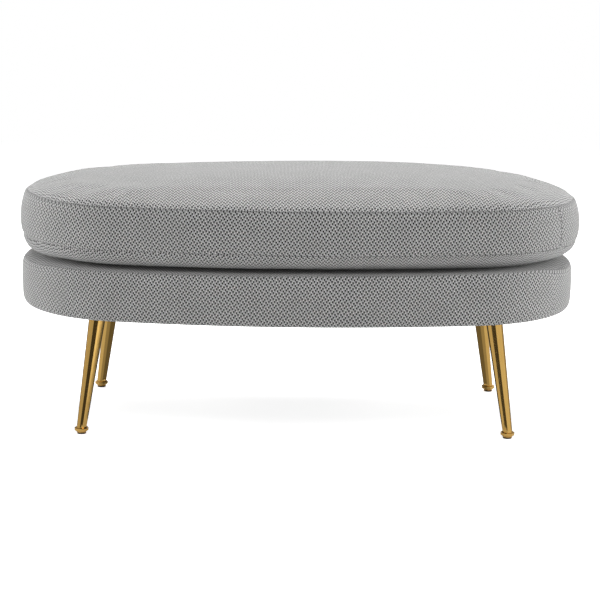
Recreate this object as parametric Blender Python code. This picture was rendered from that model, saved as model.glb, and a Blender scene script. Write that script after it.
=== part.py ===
"""Oval upholstered bench: a loose boxed cushion on a padded plywood base, on four splayed metal legs.

Lengths are in millimetres until they reach a mesh, which is in metres. X runs along the bench, Y from its front to
its back, and Z up from the floor.
"""

import math

import bmesh
import bpy

MM = 0.001
GAP = 0.3  # between pieces that touch

# Plan: two end arcs and two flatter side arcs
LENGTH = 1000.0
DEPTH = 500.0
END_RADIUS = 223.0
END_STEPS = 18
SIDE_STEPS = 6

FABRIC = 1.7
PANEL_DROP = 2.2  # the fabric's thickness straight down, on the sloping top panel

# Cushion heights, and how far the seams are drawn in from the fullest outline
CUSHION_BOTTOM = 305.8
BOTTOM_SEAM = 334.5
TOP_SEAM = 409.2
TOP_INSET = 10.3
BOTTOM_INSET = 5.9
FULLEST = 0.31  # where the side band is fullest, as a share of its height
DOME = 34.4  # rise of the top panel over its whole width
ROLL = 9.1  # extra rise close to the seam
SLACK = 1.0  # between the filling and the side band
TUCK = 37.9  # how far the bottom panel runs in before it is flat
CORE_BOTTOM = 341.0
CORE_TOP = 402.0
SCALES = (0.985, 0.95, 0.88, 0.76, 0.58, 0.34)  # rings of the top panel, as shares of its outline

# Base
BASE_INSET = 6.4
BASE_BOTTOM = 211.1
BASE_TOP = 305.5
SHOULDER = 15.0
LOWER_EDGE = 6.0
SHOULDER_SEAM = 62.0  # degrees up the shoulder
RETURN_INSET = 30.0  # inner edge of the cover where it turns under
FOAM_BAND = 10.0
HOOP = 3.0
DECK_PAD = 9.7
DECK = 12.0
LOWER_BOARD = 15.0
DUST_COVER = 0.7
DUST_INSET = 24.0
RIB_X = (-230.0, 0.0, 230.0)
RIB = 18.0
POST = 40.0
POST_ANGLES = (-50.0, 0.0, 50.0)

# Legs and feet
FOOT_AT = (373.1, 161.6)
LEG_TOP_AT = (344.2, 146.3)
LEG_TOP_RADIUS = 14.6
LEG_FOOT_RADIUS = 8.6
LEG_WALL = 1.2
LEG_FOOT_Z = 10.4
PLATE = 3.0
PLATE_RADIUS = 27.5
PLATE_SCREW_RADIUS = 20.6
DUST_CLEARANCE = 1.5
PLUG_TOP = 27.0
STEM_RADIUS = 3.0
STEM_TOP = 24.0
ROUND_STEPS = 24
CORNERS = {"front_left": (-1, -1), "front_right": (1, -1), "rear_left": (-1, 1), "rear_right": (1, 1)}

# Screws
SHANK_RADIUS = 2.0
HEAD_RADIUS = 4.0
HEAD_DEPTH = 2.2
SCREW_STEPS = 8

# Heights that follow from the sizes above
BOARD_BOTTOM = BASE_BOTTOM + FABRIC + GAP
BOARD_TOP = BOARD_BOTTOM + LOWER_BOARD
PAD_TOP = BASE_TOP - FABRIC - GAP
DECK_TOP = PAD_TOP - DECK_PAD - GAP
DECK_BOTTOM = DECK_TOP - DECK
PLATE_TOP = BOARD_BOTTOM - GAP
PLATE_BOTTOM = PLATE_TOP - PLATE
LEG_TOP_Z = PLATE_BOTTOM - GAP

# Insets of the layers in the base's side, from the outside in
FOAM_OUT = BASE_INSET + FABRIC + GAP
FOAM_IN = FOAM_OUT + FOAM_BAND
HOOP_OUT = FOAM_IN + GAP
HOOP_IN = HOOP_OUT + HOOP
BOARD_INSET = HOOP_IN + GAP


def clear_scene():
    for item in list(bpy.data.objects):
        bpy.data.objects.remove(item, do_unlink=True)


def material(name, colour, roughness, metallic=0.0):
    mat = bpy.data.materials.new(name)
    mat.use_nodes = True
    shader = mat.node_tree.nodes["Principled BSDF"]
    shader.inputs["Base Color"].default_value = (*colour, 1.0)
    shader.inputs["Roughness"].default_value = roughness
    shader.inputs["Metallic"].default_value = metallic
    return mat


def oval(inset):
    """The plan outline, moved inwards by inset. Its arcs keep their centres, so outlines are always parallel."""
    end_x = LENGTH / 2 - END_RADIUS
    side_radius = (end_x**2 + (DEPTH / 2) ** 2 - END_RADIUS**2) / (DEPTH - 2 * END_RADIUS)
    side_y = side_radius - DEPTH / 2
    join = math.atan2(side_y, end_x)
    turn = math.pi
    arcs = (
        (end_x, 0.0, END_RADIUS, -join, join, END_STEPS),
        (0.0, -side_y, side_radius, join, turn - join, SIDE_STEPS),
        (-end_x, 0.0, END_RADIUS, turn - join, turn + join, END_STEPS),
        (0.0, side_y, side_radius, turn + join, 2 * turn - join, SIDE_STEPS),
    )
    points = []
    for x, y, radius, start, stop, steps in arcs:
        for i in range(steps):
            angle = start + (stop - start) * i / steps
            points.append((x + (radius - inset) * math.cos(angle), y + (radius - inset) * math.sin(angle)))
    return points


def half_depth(x, inset):
    """How far the outline reaches along Y at x, on its straight facets."""
    points = oval(inset)
    for (xa, ya), (xb, yb) in zip(points, points[1:] + points[:1]):
        if ya > 0 and yb > 0 and min(xa, xb) <= x <= max(xa, xb):
            return ya + (yb - ya) * (x - xa) / (xb - xa)
    raise ValueError("x is outside the outline")


def ring(inset, z, scale=1.0):
    return [(x * scale, y * scale, z) for x, y in oval(inset)]


def rings(section):
    """Rings around the oval from a section of (inset, height) points."""
    return [ring(inset, z) for inset, z in section]


def pole(z, centre=(0.0, 0.0)):
    return [(centre[0], centre[1], z)]


def circle(radius, z, centre, steps):
    if radius == 0:
        return pole(z, centre)
    angles = [2 * math.pi * i / steps for i in range(steps)]
    return [(centre[0] + radius * math.cos(a), centre[1] + radius * math.sin(a), z) for a in angles]


def turned(profile, centre, steps=ROUND_STEPS):
    """Rings of a round piece about an upright axis, from (radius, height) points."""
    return [circle(radius, z, centre, steps) for radius, z in profile]


def block(size_x, size_y, low, high, centre, turn=0.0):
    """Two rings of an upright box that is turned about Z by an angle in degrees."""
    cos, sin = math.cos(math.radians(turn)), math.sin(math.radians(turn))
    flat = []
    for sx, sy in ((-1, -1), (1, -1), (1, 1), (-1, 1)):
        x, y = sx * size_x / 2, sy * size_y / 2
        flat.append((centre[0] + x * cos - y * sin, centre[1] + x * sin + y * cos))
    return [[(x, y, z) for x, y in flat] for z in (low, high)]


def arc(inset, z, radius, angles):
    """Section points around a corner whose centre is at (inset, z). An angle of 0 points outwards and 90 up."""
    turns = [math.radians(a) for a in angles]
    return [(inset - radius * math.cos(a), z + radius * math.sin(a)) for a in turns]


def skin(mesh, loops, closed):
    """Faces between neighbouring loops. A closed skin joins the last to the first, and an open one gets end caps."""
    verts = [[mesh.verts.new([value * MM for value in point]) for point in loop] for loop in loops]
    pairs = list(zip(verts, verts[1:]))
    if closed:
        pairs.append((verts[-1], verts[0]))
    for low, high in pairs:
        for i in range(max(len(low), len(high))):
            j = i + 1
            corners = (low[i % len(low)], low[j % len(low)], high[j % len(high)], high[i % len(high)])
            mesh.faces.new(list(dict.fromkeys(corners)))
    if not closed:
        for end in (verts[0], verts[-1]):
            if len(end) > 1:
                mesh.faces.new(end)


def build(name, mat, shells, closed=False, origin=(0.0, 0.0, 0.0)):
    """One object from shells, each given as its rings."""
    mesh = bmesh.new()
    for loops in shells:
        skin(mesh, loops, closed)
    bmesh.ops.recalc_face_normals(mesh, faces=mesh.faces)
    bmesh.ops.translate(mesh, verts=mesh.verts, vec=[-value * MM for value in origin])
    data = bpy.data.meshes.new(name)
    mesh.to_mesh(data)
    mesh.free()
    data.materials.append(mat)
    data.shade_smooth()
    data.set_sharp_from_angle(angle=math.radians(35))
    made = bpy.data.objects.new(name, data)
    made.location = [value * MM for value in origin]
    bpy.context.scene.collection.objects.link(made)
    return made


def piece(name, mat, loops, closed=False, origin=(0.0, 0.0, 0.0)):
    return build(name, mat, [loops], closed, origin)


def cutter(name, mat, shells):
    made = build(name, mat, shells)
    made.hide_render = True
    made.display_type = "WIRE"
    return made


def cut(target, tool):
    change = target.modifiers.new("holes", "BOOLEAN")
    change.operation = "DIFFERENCE"
    change.solver = "EXACT"
    change.object = tool


def band_inset(z):
    """Outline of the cushion's side band at a height: fullest below its middle, and drawn in to both seams."""
    share = (z - BOTTOM_SEAM) / (TOP_SEAM - BOTTOM_SEAM)
    if share > FULLEST:
        return TOP_INSET * ((share - FULLEST) / (1 - FULLEST)) ** 2.5
    return BOTTOM_INSET * ((FULLEST - share) / FULLEST) ** 2.5


def crown(scale):
    """Height of the top panel's outside, where scale goes from 1 at the seam to 0 at the centre."""
    return TOP_SEAM + GAP / 2 + DOME * (1 - scale**3) + ROLL * (1 - scale**24)


def crown_rings(drop, scales):
    return [ring(TOP_INSET, crown(scale) - drop, scale) for scale in scales]


def underside(offset):
    """Section of the bottom panel: a quarter ellipse from its seam to the flat part that rests on the base."""
    rim = BOTTOM_SEAM - GAP / 2
    wide, high = TUCK - offset, rim - CUSHION_BOTTOM - offset
    turns = [math.radians(a) for a in (0, 20, 40, 58, 75, 90)]
    return [(BOTTOM_INSET + TUCK - wide * math.cos(a), rim - high * math.sin(a)) for a in turns]


def cushion_top_panel(fabric):
    outside = [pole(crown(0))] + crown_rings(0, (*SCALES[::-1], 1.0))
    inside = [ring(TOP_INSET + 2, crown(1))] + crown_rings(PANEL_DROP, SCALES) + [pole(crown(0) - PANEL_DROP)]
    piece("cushion_top_panel", fabric, outside + inside, origin=(0, 0, TOP_SEAM))


def cushion_side_band(fabric):
    low, high = BOTTOM_SEAM + GAP / 2, TOP_SEAM - GAP / 2
    heights = [low + (high - low) * share for share in (0, 0.1, 0.2, FULLEST, 0.5, 0.7, 0.88, 1)]
    outside = [(band_inset(z), z) for z in heights]
    inside = [(band_inset(z) + FABRIC, z) for z in heights[::-1]]
    piece("cushion_side_band", fabric, rings(outside + inside), closed=True, origin=(0, 0, TOP_SEAM))


def cushion_bottom_panel(fabric):
    outside = rings(underside(0))[::-1]
    inside = rings(underside(FABRIC))
    loops = [pole(CUSHION_BOTTOM)] + outside + inside + [pole(CUSHION_BOTTOM + FABRIC)]
    piece("cushion_bottom_panel", fabric, loops, origin=(0, 0, CUSHION_BOTTOM))


def cushion_filling(foam, wadding):
    side = FABRIC + SLACK
    heights = [CORE_BOTTOM + (CORE_TOP - CORE_BOTTOM) * share for share in (0, 0.2, 0.5, 0.8, 1)]
    core = rings([(band_inset(z) + side, z) for z in heights])
    piece("cushion_foam_core", foam, core, origin=(0, 0, CORE_BOTTOM))
    low, high = CORE_TOP + GAP, TOP_SEAM - GAP
    upper = rings([(band_inset(z) + side, z) for z in (low, high)])
    upper += crown_rings(PANEL_DROP + 1.5 * GAP, SCALES) + [pole(crown(0) - PANEL_DROP - GAP)]
    piece("cushion_upper_wadding", wadding, upper, origin=(0, 0, CORE_TOP))
    high, low = CORE_BOTTOM - GAP, BOTTOM_SEAM + GAP
    lower = rings([(band_inset(z) + side, z) for z in (high, low)])
    lower += rings(underside(FABRIC + 1.5 * GAP)[1:])
    piece("cushion_lower_wadding", wadding, lower, origin=(0, 0, CORE_BOTTOM))


def base_side_cover(fabric):
    """A strip that hugs the side, ends at the seam on the shoulder, and turns under the lower board."""
    shoulder = (BASE_INSET + SHOULDER, BASE_TOP - SHOULDER)
    edge = (BASE_INSET + LOWER_EDGE, BASE_BOTTOM + LOWER_EDGE)
    up, down = (0, 22, 42, SHOULDER_SEAM), (-90, -45, 0)
    outside = [(RETURN_INSET, BASE_BOTTOM)] + arc(*edge, LOWER_EDGE, down) + arc(*shoulder, SHOULDER, up)
    inside = arc(*shoulder, SHOULDER - FABRIC, up[::-1]) + arc(*edge, LOWER_EDGE - FABRIC, down[::-1])
    inside.append((RETURN_INSET, BASE_BOTTOM + FABRIC))
    piece("base_side_cover", fabric, rings(outside + inside), closed=True, origin=(0, 0, BASE_BOTTOM))


def base_top_cover(fabric):
    shoulder = (BASE_INSET + SHOULDER, BASE_TOP - SHOULDER)
    angles = (SHOULDER_SEAM + 1.5, 76, 90)
    outside = [pole(BASE_TOP)] + rings(arc(*shoulder, SHOULDER, angles[::-1]))
    inside = rings(arc(*shoulder, SHOULDER - FABRIC, angles)) + [pole(BASE_TOP - FABRIC)]
    piece("base_top_cover", fabric, outside + inside, origin=(0, 0, BASE_TOP))


def base_padding(foam):
    """A foam pad over the deck that rounds the shoulder, and a foam band around the hoop."""
    shoulder = (BASE_INSET + SHOULDER, BASE_TOP - SHOULDER)
    radius = SHOULDER - FABRIC - GAP
    low = math.degrees(math.asin((DECK_TOP + GAP - shoulder[1]) / radius))
    pad = rings(arc(*shoulder, radius, (low, 40, 65, 90)))
    piece("deck_foam_pad", foam, pad, origin=(0, 0, DECK_TOP))
    edge = (BASE_INSET + LOWER_EDGE, BASE_BOTTOM + LOWER_EDGE)
    top = math.degrees(math.asin((DECK_TOP - shoulder[1]) / radius))
    band = arc(*edge, LOWER_EDGE - FABRIC - GAP, (-90, -45, 0)) + arc(*shoulder, radius, (0, top))
    band += [(FOAM_IN, DECK_TOP), (FOAM_IN, BOARD_BOTTOM)]
    piece("base_foam_band", foam, rings(band), closed=True, origin=(0, 0, BOARD_BOTTOM))


def base_boards(ply, board, leg_holes):
    hoop = [(HOOP_OUT, BOARD_BOTTOM), (HOOP_OUT, DECK_TOP), (HOOP_IN, DECK_TOP), (HOOP_IN, BOARD_BOTTOM)]
    piece("base_side_hoop", board, rings(hoop), closed=True, origin=(0, 0, BOARD_BOTTOM))
    deck = rings([(BOARD_INSET, DECK_BOTTOM), (BOARD_INSET, DECK_TOP)])
    piece("deck_board", ply, deck, origin=(0, 0, DECK_BOTTOM))
    lower = rings([(BOARD_INSET, BOARD_BOTTOM), (BOARD_INSET, BOARD_TOP)])
    cut(piece("lower_board", ply, lower, origin=(0, 0, BOARD_BOTTOM)), leg_holes)


def post_places():
    """Name, centre and turn of each post. The posts stand against the hoop around the two ends."""
    reach = END_RADIUS - BOARD_INSET
    middle = math.sqrt(reach**2 - (POST / 2) ** 2) - 1.5 - POST / 2
    places = []
    for side, sign in (("left", -1), ("right", 1)):
        for angle, spot in zip(POST_ANGLES, ("front", "middle", "rear")):
            x = sign * (LENGTH / 2 - END_RADIUS + middle * math.cos(math.radians(angle)))
            y = middle * math.sin(math.radians(angle))
            places.append((f"frame_post_{side}_{spot}", (x, y), sign * angle))
    return places


def base_frame(ply):
    """Posts and cross ribs, glued between the two boards."""
    low, high = BOARD_TOP + GAP, DECK_BOTTOM - GAP
    for name, centre, turn in post_places():
        piece(name, ply, block(POST, POST, low, high, centre, turn), origin=(*centre, low))
    for x, spot in zip(RIB_X, ("left", "middle", "right")):
        reach = min(half_depth(x - RIB / 2, BOARD_INSET), half_depth(x + RIB / 2, BOARD_INSET))
        piece(f"frame_rib_{spot}", ply, block(RIB, 2 * reach, low, high, (x, 0.0)), origin=(x, 0, low))


def leg_top(corner):
    sx, sy = CORNERS[corner]
    return (sx * LEG_TOP_AT[0], sy * LEG_TOP_AT[1])


def foot_centre(corner):
    sx, sy = CORNERS[corner]
    return (sx * FOOT_AT[0], sy * FOOT_AT[1])


def plate_screw_places(corner):
    """Four places on a circle around the top of a leg, turned to lie between the leg and the plate's rim."""
    x, y = leg_top(corner)
    angles = [math.radians(45 + 90 * i) for i in range(4)]
    return [(x + PLATE_SCREW_RADIUS * math.cos(a), y + PLATE_SCREW_RADIUS * math.sin(a)) for a in angles]


def plate_holes(steel):
    """Tool for the screw holes in the leg plates and, above them, in the lower board."""
    shape = ((0, PLATE_BOTTOM - 1), (SHANK_RADIUS + GAP, PLATE_BOTTOM - 1))
    shape += ((SHANK_RADIUS + GAP, BOARD_TOP - 2), (0, BOARD_TOP - 2))
    places = [centre for corner in CORNERS for centre in plate_screw_places(corner)]
    return cutter("plate_hole_tool", steel, [turned(shape, centre, SCREW_STEPS) for centre in places])


def leg_plates(steel, leg_holes):
    for corner in CORNERS:
        profile = ((0, PLATE_BOTTOM), (PLATE_RADIUS, PLATE_BOTTOM), (PLATE_RADIUS, PLATE_TOP), (0, PLATE_TOP))
        cut(piece(f"leg_plate_{corner}", steel, turned(profile, leg_top(corner))), leg_holes)


def leg_plate_screws(steel):
    under = PLATE_BOTTOM - GAP
    tip = BOARD_TOP - 3
    profile = ((0, under - HEAD_DEPTH), (HEAD_RADIUS, under - HEAD_DEPTH), (HEAD_RADIUS, under))
    profile += ((SHANK_RADIUS, under), (SHANK_RADIUS, tip), (0, tip))
    for corner in CORNERS:
        for number, centre in enumerate(plate_screw_places(corner), 1):
            rounds = turned(profile, centre, SCREW_STEPS)
            piece(f"leg_screw_{corner}_{number}", steel, rounds, origin=(*centre, under))


def dust_cover(cloth):
    radius = PLATE_RADIUS + DUST_CLEARANCE
    opening = ((0, BASE_BOTTOM - 5), (radius, BASE_BOTTOM - 5), (radius, BASE_BOTTOM + 5), (0, BASE_BOTTOM + 5))
    tool = cutter("dust_opening_tool", cloth, [turned(opening, leg_top(corner)) for corner in CORNERS])
    top = BASE_BOTTOM - GAP
    sheet = rings([(DUST_INSET, top - DUST_COVER), (DUST_INSET, top)])
    cut(piece("dust_cover", cloth, sheet), tool)


def leg_ring(corner, z, inset):
    """Level ring on a slanted, tapered leg, inset from its outside. The slant stretches it along the lean."""
    foot, top = foot_centre(corner), leg_top(corner)
    share = (z - LEG_FOOT_Z) / (LEG_TOP_Z - LEG_FOOT_Z)
    radius = LEG_FOOT_RADIUS + (LEG_TOP_RADIUS - LEG_FOOT_RADIUS) * share - inset
    lean_x, lean_y = top[0] - foot[0], top[1] - foot[1]
    lean = math.hypot(lean_x, lean_y)
    stretch = math.hypot(lean, LEG_TOP_Z - LEG_FOOT_Z) / (LEG_TOP_Z - LEG_FOOT_Z)
    along = (lean_x / lean, lean_y / lean)
    points = []
    for x, y, _ in circle(radius, z, (0.0, 0.0), ROUND_STEPS):
        extra = (x * along[0] + y * along[1]) * (stretch - 1)
        points.append((foot[0] + lean_x * share + x + along[0] * extra,
                       foot[1] + lean_y * share + y + along[1] * extra, z))
    return points


def legs(gold, plastic):
    for corner in CORNERS:
        origin = (*foot_centre(corner), LEG_FOOT_Z)
        spots = ((LEG_FOOT_Z, 0), (LEG_TOP_Z, 0), (LEG_TOP_Z, LEG_WALL), (LEG_FOOT_Z, LEG_WALL))
        tube = [leg_ring(corner, z, inset) for z, inset in spots]
        piece(f"leg_tube_{corner}", gold, tube, closed=True, origin=origin)
        low, fit = LEG_FOOT_Z + 0.5, LEG_WALL + GAP
        hole = [circle(STEM_RADIUS + GAP, z, foot_centre(corner), ROUND_STEPS) for z in (PLUG_TOP, low)]
        plug = [leg_ring(corner, low, fit), leg_ring(corner, PLUG_TOP, fit)] + hole
        piece(f"leg_plug_{corner}", plastic, plug, closed=True, origin=origin)


# Radius and height along each outline, from the axis at the bottom to the axis at the top
FOOT_PROFILE = (
    (0, 4.3), (4.3, 4.3), (4.3, 2.3), (7.8, 2.3), (10.9, 5.7), (12.3, 6.3), (12.3, 10.2), (11.8, 10.7),
    (9.8, 10.1), (STEM_RADIUS, 10.1), (STEM_RADIUS, STEM_TOP), (0, STEM_TOP),
)
PAD_PROFILE = ((0, 0), (7.8, 0), (7.8, 2.0), (4.0, 2.0), (4.0, 4.0), (0, 4.0))


def feet(gold, rubber):
    """Flanged feet on an upright stem that screws into the leg's plug, each with a pad on the floor."""
    for corner in CORNERS:
        centre = foot_centre(corner)
        origin = (*centre, 0.0)
        piece(f"foot_cup_{corner}", gold, turned(FOOT_PROFILE, centre), origin=origin)
        piece(f"foot_pad_{corner}", rubber, turned(PAD_PROFILE, centre), origin=origin)


def main():
    clear_scene()
    fabric = material("fabric", (0.45, 0.45, 0.445), 0.9)
    foam = material("foam", (0.82, 0.78, 0.62), 0.95)
    wadding = material("wadding", (0.86, 0.86, 0.85), 1.0)
    ply = material("plywood", (0.62, 0.46, 0.28), 0.7)
    board = material("hardboard", (0.33, 0.22, 0.13), 0.75)
    cloth = material("dust_cloth", (0.02, 0.02, 0.02), 0.95)
    steel = material("steel", (0.55, 0.55, 0.56), 0.35, 1.0)
    gold = material("gold_metal", (0.72, 0.5, 0.2), 0.15, 1.0)
    plastic = material("plug_plastic", (0.03, 0.03, 0.03), 0.5)
    rubber = material("pad_rubber", (0.08, 0.07, 0.055), 0.7)
    cushion_top_panel(fabric)
    cushion_side_band(fabric)
    cushion_bottom_panel(fabric)
    cushion_filling(foam, wadding)
    base_side_cover(fabric)
    base_top_cover(fabric)
    base_padding(foam)
    leg_holes = plate_holes(steel)
    base_boards(ply, board, leg_holes)
    base_frame(ply)
    dust_cover(cloth)
    leg_plates(steel, leg_holes)
    leg_plate_screws(steel)
    legs(gold, plastic)
    feet(gold, rubber)


main()
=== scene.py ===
"""Looks of an oval upholstered bench: woven covers with sewn seams, polished metal legs and a plain studio.

Lengths are in metres. X runs along the bench, Y from its front to its back, and Z up from the floor.
An inset is a distance inwards from the plan, and a share runs from 0 to 1.
"""

import math

import bmesh
import bpy
import numpy as np
from mathutils import Matrix, Vector, noise

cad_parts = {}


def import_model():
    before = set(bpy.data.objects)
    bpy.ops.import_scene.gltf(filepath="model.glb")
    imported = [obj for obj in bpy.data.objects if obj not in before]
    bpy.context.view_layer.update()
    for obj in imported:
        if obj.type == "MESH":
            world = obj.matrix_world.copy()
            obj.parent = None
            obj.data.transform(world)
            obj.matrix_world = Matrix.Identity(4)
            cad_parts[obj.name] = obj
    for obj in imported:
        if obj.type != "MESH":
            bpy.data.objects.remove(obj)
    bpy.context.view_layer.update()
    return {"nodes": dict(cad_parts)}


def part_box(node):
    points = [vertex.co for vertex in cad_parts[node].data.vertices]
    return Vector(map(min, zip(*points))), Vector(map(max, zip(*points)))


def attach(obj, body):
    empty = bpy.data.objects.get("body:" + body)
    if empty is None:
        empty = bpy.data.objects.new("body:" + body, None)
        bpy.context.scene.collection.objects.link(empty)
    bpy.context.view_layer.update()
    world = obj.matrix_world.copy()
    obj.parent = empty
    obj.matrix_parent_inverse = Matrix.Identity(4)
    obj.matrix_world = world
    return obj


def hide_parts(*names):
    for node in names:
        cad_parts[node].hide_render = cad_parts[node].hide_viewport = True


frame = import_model()

MM = 0.001

# Plan: two end arcs and two flatter side arcs, around the fullest part of the cushion
BAND_LOW, BAND_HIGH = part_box("cushion_side_band")
LENGTH = BAND_HIGH.x - BAND_LOW.x
DEPTH = BAND_HIGH.y - BAND_LOW.y
END_RADIUS = 223 * MM
END_X = LENGTH / 2 - END_RADIUS
SIDE_RADIUS = (END_X**2 + (DEPTH / 2) ** 2 - END_RADIUS**2) / (DEPTH - 2 * END_RADIUS)
SIDE_Y = SIDE_RADIUS - DEPTH / 2
END_TURN = math.atan2(SIDE_Y, END_X)  # half the angle of an end arc
SIDE_COLUMNS = 82
END_COLUMNS = 78
COLUMNS = 2 * (SIDE_COLUMNS + END_COLUMNS)
END_STARTS = 0.6  # how far sideways the plan faces where an end of the bench starts
END_FULL = 0.95  # how far sideways it faces where that end is complete
HALF_REACH = 200 * MM  # way from the middle over which the left half of the bench turns into the right half

# Unevenness around the plan: length of its waves, its seed, and its height
WAVES = {
    "lower_seam": (0.14, 1.7, 0.9 * MM),
    "upper_seam": (0.18, 5.2, 0.9 * MM),
    "lower_edge": (0.11, 3.1, 1.3 * MM),
    "side_band": (0.16, 7.7, 0.8 * MM),
    "base_side": (0.13, 21.4, 0.5 * MM),
    "base_rim": (0.035, 33.8, 0.25 * MM),
}

# Cushion: its side band
TOP_SEAM = BAND_HIGH.z
BOTTOM_SEAM = BAND_LOW.z
TOP_INSET = 10.3 * MM  # of the upper seam
BOTTOM_INSET = 4.4 * MM  # of the lower seam
FULLEST = 0.31  # where the side band is fullest, as a share of its height
BAND_POWER = 2.5  # how late it turns in to its seams
BAND_ROWS = (10 * MM, 16 * MM, 23 * MM, 30 * MM)  # distances from a seam, after those in SEAM_ROWS
BAND_JOIN = math.radians(-38.5)  # where the ends of the side band are sewn together, on the right end
JOIN_DEPTH = 1.2 * MM  # how far that join draws the band in
HALF_STITCH = 3 * MM  # half the way from one stitch of the join to the next
STITCH_SPOT = (3 * MM, 2 * MM)  # half the width and half the height of the dark spot at a stitch
STITCH_SHADE = 0.15  # how bright that spot is beside the cloth
CUSHION_SHIFT = Vector((5.5 * MM, 0.0, 0.0))  # the loose cushion lies a little to the right

# Cushion: its seams
SEAM_DEPTH = 2.6 * MM  # how far the upper seam draws the side band in
LIP_DEPTH = 0.8 * MM  # how far it draws the edge of the top panel down
FAINT_DEPTH = 1.5 * MM  # how far the lower seam draws the covers in
SEAM_REACH = 2 * MM
SEAM_PUFF = 0.4 * MM  # how much fuller the covers are beside a seam
PUFF_AT = 5 * MM  # how far from the seam that is
PUFF_REACH = 3 * MM
SEAM_ROWS = (1.6 * MM, 3.4 * MM, 6 * MM)  # distances of the rows closest to a seam
SEAM_TILT = 3 * MM  # the upper seam is higher at the left end and lower at the right end
SEAM_SHADE_FADE = (2.2 * MM, 6.2 * MM)  # distances from a seam between which the painted shade along it fades out
SEAM_SHADE_LEVEL = 0.56  # how bright the cloth is in that painted shade, beside the rest of the cloth
SEAM_SHADE_FRAY = 2 * MM  # how far loose fibres shift the edge of that painted shade
FAINT_SEAM = 3.4 * MM  # a seam that hardly shows counts as this much further away, which weakens the painted shade along it
FAR = 0.1  # stands for no seam close by

# Cushion: its top and bottom panels
CUSHION_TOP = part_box("cushion_top_panel")[1].z
CUSHION_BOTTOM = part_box("cushion_bottom_panel")[0].z
TOP_ENDS = (200 * MM, 420 * MM)  # way from the middle where an end of the top panel starts, and is full
TOP_ROWS = (10 * MM, 15 * MM, 22 * MM, 31 * MM, 42 * MM)  # distances from its seam, after those in SEAM_ROWS
DOME_POWER = 3  # how soon the top panel falls away from its middle
ROLL = {"middle": 6 * MM, "end": 9.1 * MM}  # its steep rise close to the seam
ROLL_POWER = {"middle": 10, "end": 24}  # how close to the seam that is
WANDER_POWER = 12  # how soon the unevenness of the seam is lost further in
CROWN_LEAN = 2.4 * MM  # the filling has gathered a little more on the right
LEAN_POWER = 6  # how close to the seam that still shows
TUCK = 37.9 * MM  # how far the bottom panel runs in before it is flat
TUCK_ANGLES = (90, 76, 62, 48, 36, 26, 18, 12, 7, 3.5, 0)  # its rows, from the flat part out to the seam
DROOP = {"left": 4.5 * MM, "right": -1.5 * MM, "middle": -3.7 * MM}  # how far its rounded edge hangs
DROOP_TILT = 4 * MM  # along the front and the back it hangs more on the left than on the right

# Cushion: how its cover swells
SWELL_FRAMES = 20
SWELL_PRESSURE = 1.2
SWELL_LIMIT = 3 * MM
SINK_STARTS = {"middle": 0.64, "end": 0.76}  # share of the top panel up to which it has full room to rise
SINK_FULL = {"middle": 0.91, "end": 0.96}  # share from which it has as much room to sink

# Base
BASE_LOW, BASE_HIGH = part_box("base_side_cover")
BASE_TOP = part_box("base_top_cover")[1].z
BASE_BOTTOM = BASE_LOW.z
BASE_INSET = (LENGTH - (BASE_HIGH.x - BASE_LOW.x)) / 2
HOOP_LOW, HOOP_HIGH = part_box("base_side_hoop")
HOOP_INSET = (LENGTH - (HOOP_HIGH.x - HOOP_LOW.x)) / 2
DECK_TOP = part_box("deck_board")[1].z
COVER = 1.7 * MM  # thickness of the cover under the base
CLEAR = 0.3 * MM  # room between the padding and the frame inside it
RETURN_INSET = 30 * MM  # where the cover ends under the base
UNDER_INSET = 22 * MM  # a row between that end and the rounding
LOWER_EDGE = (6.5 * MM, 15 * MM)  # width and height of the rounding at the bottom of the side
LOWER_ANGLES = (-90, -72, -56, -42, -28, -14, 0)  # its rows
SIDE_ROWS = 10
SIDE_BULGE = 1.2 * MM
BASE_SHIFT = 1.3 * MM  # the padded side sits a little to the right of the legs
RIM = {  # seam between the side and the top: inset, height, rounding below it and the last angle of that
    "middle": (9.6 * MM, 299 * MM, 10 * MM, 84),
    "end": (11.5 * MM, 292 * MM, 15 * MM, 60),
}
RIM_ROWS = 8
RIM_DEPTH = 1.4 * MM  # how far that seam draws the cover in
RIM_FADE = 0.8  # share of that which is lost at the ends
RIM_TILT = 2 * MM  # along the front and the back it is higher on the right than on the left
TILT_REACH = 25 * MM  # how far from the seam that is lost
RIPPLE_REACH = 9 * MM  # how far from it the small ripples of the seam are lost
LEVEL_INSET = 85 * MM  # from here inwards the top of the base is one level sheet
LEVEL_POWER = {"middle": 1.4, "end": 2.6}  # how soon it becomes level
LEVEL_WAYS = (0.0, 0.02, 0.045, 0.08, 0.13, 0.2, 0.3, 0.43, 0.58, 0.78, 1.0)  # its rows, from the seam on

# Dust sheet and its staples
PLATE_CLEAR = 1.5 * MM  # width of the ring between a leg's plate and the sheet
OPENING_SIDES = 48
OPENING_DEPTH = 20 * MM
SLACK_STARTS = 14 * MM  # distance from the sheet's outer edge where it starts to sag
SLACK_FULL = 60 * MM  # distance from which it sags freely
SAG_DEPTH = 0.7 * MM
SAG_SCALE = (9, 16)  # how close its waves follow each other along the bench, and across it
SAG_SEED = 4.3
STAPLES = 40
STAPLE_INSET = 8 * MM  # from the edge of the sheet
STAPLE_WIDTH = 1.2 * MM
STAPLE_THICKNESS = 0.6 * MM
STAPLE_HALF = 5.6  # half the length of a staple, in millimetres like its outline
STAPLE_OUTLINE = (
    (-STAPLE_HALF, 0.5), (-STAPLE_HALF, -0.1), (-5.2, -0.45), (-4.6, -0.6),
    (4.6, -0.6), (5.2, -0.45), (STAPLE_HALF, -0.1), (STAPLE_HALF, 0.5),
)
STAPLE_TWIST = 0.12  # how far a staple is turned off the line of the edge, at most, in radians
TWIST_SCALE = 40

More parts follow.
